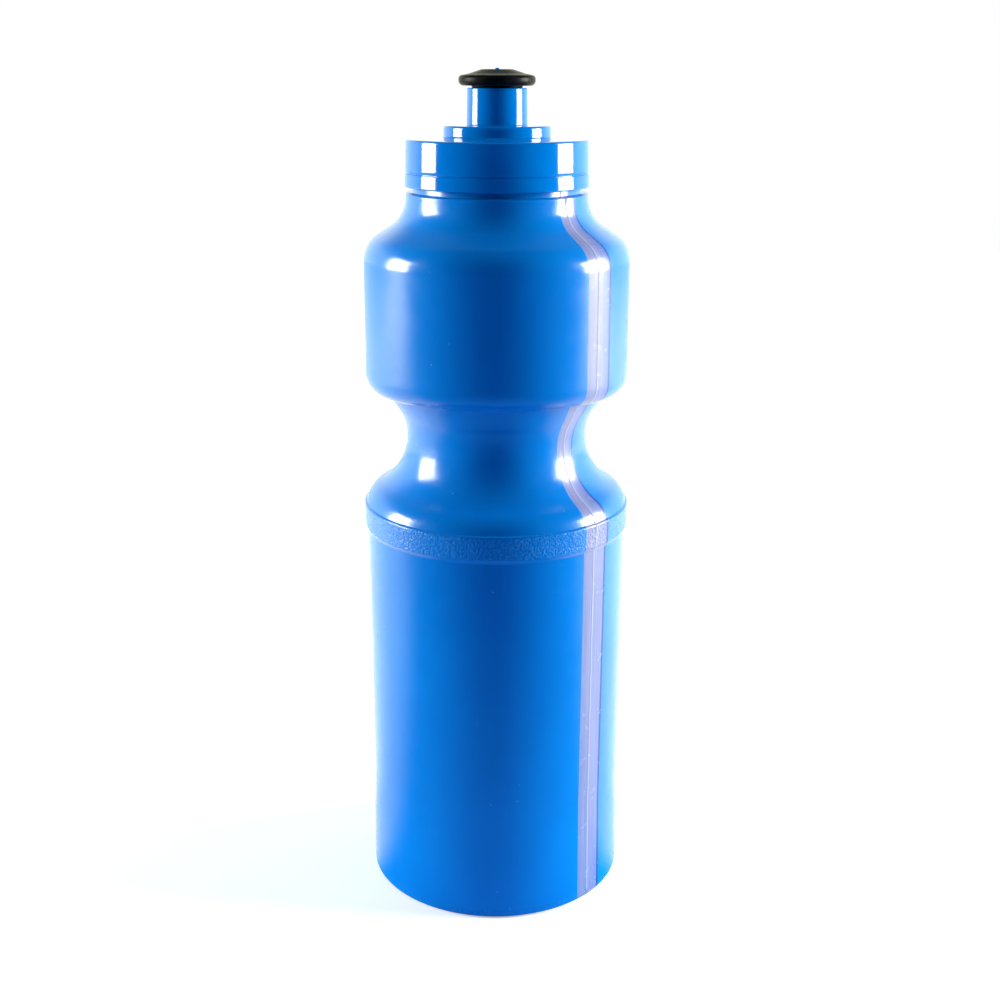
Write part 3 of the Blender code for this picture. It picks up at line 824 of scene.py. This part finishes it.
# what the bottle sees of the paper is painted light and shade, dimmer and bluer than what the lens sees: blue near the
# bottle as painted bounce light, darker blue further off as painted shade, and warm white at the sides, where it also
# glows as painted light though it is no lamp
dim = fm.add("ShaderNodeBsdfDiffuse")
fdist = fm.add("ShaderNodeVectorMath", operation='LENGTH')
fm.link(fcoords, fdist.inputs[0])
fm.link(fm.ramp(fdist.outputs["Value"], 0.10, 0.50, 0.38, 0.70), fm.shader.inputs["Emission Strength"])
fsplit = fm.add("ShaderNodeSeparateXYZ")
fm.link(fcoords, fsplit.inputs[0])
faz = fm.math("ABSOLUTE", fm.math("ARCTAN2", fsplit.outputs[0], fm.math("MULTIPLY", fsplit.outputs[1], -1.0)))
fnear = fm.ramp(fm.math("SQRT", fm.math("ADD", fm.math("MULTIPLY", fsplit.outputs[0], fsplit.outputs[0]),
                                         fm.math("MULTIPLY", fsplit.outputs[1], fsplit.outputs[1]))), 0.05, 0.30)
# painted bounce light and shade: bright blue paper near the bottle, darker blue further off
painted_bounce_colour = fm.mix_colour(fnear, (0.07, 0.58, 1.0, 1.0), (0.02, 0.19, 0.44, 1.0))
fm.link(fm.mix_colour(fm.ramp(faz, radians(66), radians(90)), painted_bounce_colour, (1.0, 0.97, 0.80, 1.0)), dim.inputs["Color"])
fpath = fm.add("ShaderNodeLightPath")
fmix = fm.add("ShaderNodeMixShader")
fm.link(fpath.outputs["Is Camera Ray"], fmix.inputs[0])
# painted light: the paper at the bottle's sides glows for the bottle as if it were a lamp
painted_side_glow = fm.add("ShaderNodeEmission")
fm.link(fm.mix_colour(fm.ramp(faz, radians(66), radians(92)), (0.0, 0.0, 0.0, 1.0), (1.0, 0.94, 0.78, 1.0)), painted_side_glow.inputs["Color"])
painted_side_glow.inputs["Strength"].default_value = 0.55
lit = fm.add("ShaderNodeAddShader")
fm.link(dim.outputs[0], lit.inputs[0])
fm.link(painted_side_glow.outputs[0], lit.inputs[1])
fm.link(lit.outputs[0], fmix.inputs[1])
fm.link(fm.shader.outputs[0], fmix.inputs[2])
fm.link(fmix.outputs[0], fm.tree.nodes["Material Output"].inputs["Surface"])
floor_mesh.materials.append(fm.mat)


def soft_box(name, azimuth, distance, width, height, low, power):
    """Upright rectangular light standing on the floor, facing the bottle."""
    light = bpy.data.lights.new(name, 'AREA')
    light.shape = 'RECTANGLE'
    light.size, light.size_y = width, height
    light.energy = power
    light.color = (1.0, 0.99, 0.90)
    obj = bpy.data.objects.new(name, light)
    a = radians(azimuth)
    place = Vector((distance * sin(a), -distance * cos(a), low + height / 2))
    obj.location = place
    obj.rotation_mode = 'QUATERNION'
    obj.rotation_quaternion = (Vector((0, 0, place.z)) - place).to_track_quat('-Z', 'Y')
    scene.collection.objects.link(obj)
    return obj


soft_box("softbox_left", -92.0, 1.25, 0.54, 0.63, 0.085, 27.5)
soft_box("softbox_right", 93.0, 1.25, 0.58, 0.63, 0.085, 40.0)

world = bpy.data.worlds.new("studio_world")
scene.world = world
world.use_nodes = True
wt = world.node_tree
wt.nodes.clear()
out = wt.nodes.new("ShaderNodeOutputWorld")
mixer = wt.nodes.new("ShaderNodeMixShader")
path = wt.nodes.new("ShaderNodeLightPath")
around = wt.nodes.new("ShaderNodeBackground")
seen = wt.nodes.new("ShaderNodeBackground")
seen.inputs["Color"].default_value = (1.0, 1.0, 1.0, 1.0)
seen.inputs["Strength"].default_value = 1.0
coords = wt.nodes.new("ShaderNodeTexCoord")
split = wt.nodes.new("ShaderNodeSeparateXYZ")
wt.links.new(coords.outputs["Generated"], split.inputs[0])


def world_ramp(value, lo, hi, out_lo, out_hi):
    node = wt.nodes.new("ShaderNodeMapRange")
    node.interpolation_type = 'SMOOTHSTEP'
    wt.links.new(value, node.inputs["Value"])
    for key, v in (("From Min", lo), ("From Max", hi), ("To Min", out_lo), ("To Max", out_hi)):
        node.inputs[key].default_value = v
    return node.outputs["Result"]


def world_times(a, b):
    node = wt.nodes.new("ShaderNodeMath")
    node.operation = 'MULTIPLY'
    wt.links.new(a, node.inputs[0])
    wt.links.new(b, node.inputs[1])
    return node.outputs[0]


back_glow = world_ramp(split.outputs[1], -0.10, 0.50, 0.030, 1.60)
top_fall = world_ramp(split.outputs[2], 0.28, 0.62, 1.0, 0.10)
wt.links.new(world_times(back_glow, top_fall), around.inputs["Strength"])
tint = wt.nodes.new("ShaderNodeMix")
tint.data_type = 'RGBA'
wt.links.new(world_ramp(split.outputs[1], -0.10, 0.50, 0.0, 1.0), tint.inputs[0])
tint.inputs[6].default_value = (0.12, 0.47, 1.0, 1.0)
tint.inputs[7].default_value = (0.98, 1.0, 0.78, 1.0)
wt.links.new(tint.outputs[2], around.inputs["Color"])
wt.links.new(path.outputs["Is Camera Ray"], mixer.inputs[0])
# a weak blue light from overhead
overhead = wt.nodes.new("ShaderNodeBackground")
overhead.inputs["Color"].default_value = (0.02, 0.46, 1.0, 1.0)
wt.links.new(world_ramp(split.outputs[2], 0.45, 0.90, 0.0, 0.42), overhead.inputs["Strength"])
both = wt.nodes.new("ShaderNodeAddShader")
wt.links.new(around.outputs[0], both.inputs[0])
wt.links.new(overhead.outputs[0], both.inputs[1])
wt.links.new(both.outputs[0], mixer.inputs[1])
wt.links.new(seen.outputs[0], mixer.inputs[2])
wt.links.new(mixer.outputs[0], out.inputs[0])

# ------------------------------------------------------------------ camera
pitch, roll = radians(17.084), radians(0.198)
eye = Vector((0.0011, -0.37690, 0.22811))
forward = Vector((0.0, cos(pitch), -sin(pitch)))
right0, up0 = Vector((1.0, 0.0, 0.0)), Vector((0.0, sin(pitch), cos(pitch)))
right = right0 * cos(roll) + up0 * sin(roll)
up = up0 * cos(roll) - right0 * sin(roll)
cam_data = bpy.data.cameras.new("camera")
cam_data.sensor_fit = 'HORIZONTAL'
cam_data.sensor_width = 36.0
cam_data.lens = 50.0
cam_data.clip_start, cam_data.clip_end = 0.01, 50.0
cam = bpy.data.objects.new("camera", cam_data)
scene.collection.objects.link(cam)
basis = Matrix((right, up, -forward)).transposed().to_4x4()
basis.translation = eye
cam.matrix_world = basis
scene.camera = cam
